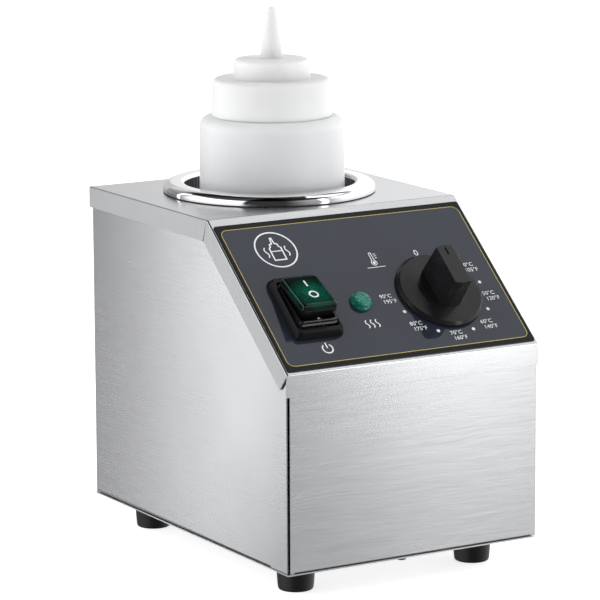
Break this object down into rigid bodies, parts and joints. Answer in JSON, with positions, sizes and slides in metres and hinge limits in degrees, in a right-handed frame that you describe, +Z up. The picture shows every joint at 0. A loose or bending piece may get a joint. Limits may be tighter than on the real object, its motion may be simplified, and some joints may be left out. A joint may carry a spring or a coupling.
{
  "type": "nacho cheese dispenser",
  "caption": "Countertop warmer that keeps a squeeze bottle of nacho cheese hot in a round well, with a sloped panel carrying a rocker switch, a lamp and a temperature dial.",
  "frame": {"origin": "centre of the footprint's bounding box, on the table under the feet", "axes": "+Z up, +X to the operator's right, -Y towards the operator, who faces the sloped control panel"},
  "size_m": [0.16, 0.236, 0.3],
  "materials": {
    "brushed_stainless": "fine horizontal brushing",
    "polished_stainless": "mirror polish",
    "zinc_plated_steel": "bright zinc plate",
    "heater_steel": "dull mill finish",
    "panel_film": "satin printed film",
    "black_plastic": "satin",
    "black_rubber": "matt",
    "green_lens": "clear tinted gloss",
    "black_nylon": "moulded",
    "ceramic_white": "moulded ivory",
    "brass": "stamped",
    "copper": "drawn copper",
    "translucent_plastic": "milky translucent",
    "silicone": "moulded silicone",
    "red_wire": "insulated wire",
    "blue_wire": "insulated wire",
    "green_wire": "insulated wire"
  },
  "bodies": {
    "casing": {"top_cover": "brushed_stainless", "casing_wrap": "brushed_stainless", "front_panel": "brushed_stainless", "base_plate": "brushed_stainless", "well_pot": "polished_stainless", "well_clip_1": "zinc_plated_steel", "well_clip_2": "zinc_plated_steel", "well_clip_3": "zinc_plated_steel", "heater_clamp_screw": "zinc_plated_steel", "bulb_clip": "zinc_plated_steel", "lamp_clip": "zinc_plated_steel", "thermostat_screw_left": "zinc_plated_steel", "thermostat_screw_right": "zinc_plated_steel", "foot_screw_front_left": "zinc_plated_steel", "foot_screw_front_right": "zinc_plated_steel", "foot_screw_rear_left": "zinc_plated_steel", "foot_screw_rear_right": "zinc_plated_steel", "base_screw_front": "zinc_plated_steel", "base_screw_rear": "zinc_plated_steel", "base_screw_left": "zinc_plated_steel", "base_screw_right": "zinc_plated_steel", "cover_screw_left": "zinc_plated_steel", "cover_screw_right": "zinc_plated_steel", "heater_band": "heater_steel", "control_overlay": "panel_film", "switch_frame": "black_plastic", "foot_front_left": "black_rubber", "foot_front_right": "black_rubber", "foot_rear_left": "black_rubber", "foot_rear_right": "black_rubber", "lamp_lens": "green_lens", "switch_housing": "black_nylon", "lamp_body": "black_nylon", "thermostat_body": "black_nylon", "thermal_cutout": "black_nylon", "gland_body": "black_nylon", "gland_nut": "black_nylon", "gland_locknut": "black_nylon", "terminal_block": "ceramic_white", "switch_terminal_1": "brass", "switch_terminal_2": "brass", "thermostat_bulb": "copper", "capillary_tube": "copper", "well_seal": "silicone", "live_wire": "red_wire", "switched_wire": "red_wire", "heater_wire": "red_wire", "lamp_live_wire": "red_wire", "band_wire": "blue_wire", "neutral_wire": "blue_wire", "lamp_neutral_wire": "blue_wire", "earth_wire": "green_wire"},
    "knob": {"knob": "black_plastic", "thermostat_shaft": "brass"},
    "rocker": {"rocker_carrier": "black_plastic", "rocker_cap": "green_lens"},
    "boot": {"switch_boot": "black_rubber"},
    "bottle": {"bottle_body": "translucent_plastic"},
    "liner": {"cap_seal": "silicone"},
    "cap": {"bottle_cap": "translucent_plastic"}
  },
  "joints": [
    {"name": "knob_turn", "type": "hinge", "parent": "casing", "child": "knob", "pos_m": [0.0356, -0.08552, 0.15277], "axis": [0, 0.6428, -0.766], "range_deg": [0, 270]},
    {"name": "rocker_tilt", "type": "hinge", "parent": "casing", "child": "rocker", "pos_m": [-0.05, -0.08647, 0.15328], "axis": [1, 0, 0], "range_deg": [0, 25]},
    {"name": "boot_tilt", "type": "hinge", "parent": "casing", "child": "boot", "pos_m": [-0.05, -0.08647, 0.15328], "axis": [1, 0, 0], "range_deg": [0, 12.5]},
    {"name": "bottle_lift", "type": "slide", "parent": "casing", "child": "bottle", "axis": [0, 0, 1], "range_m": [0, 0.16]},
    {"name": "cap_rise", "type": "slide", "parent": "bottle", "child": "liner", "axis": [0, 0, 1], "range_m": [0, 0.006]},
    {"name": "cap_turn", "type": "hinge", "parent": "liner", "child": "cap", "pos_m": [0, 0.0318, 0.246], "axis": [0, 0, 1], "range_deg": [0, 540]}
  ],
  "couplings": [
    {"joint": "boot_tilt", "follows": "rocker_tilt", "ratio": 0.5},
    {"joint": "cap_rise", "follows": "cap_turn", "m_per_rad": 0.00063656}
  ]
}
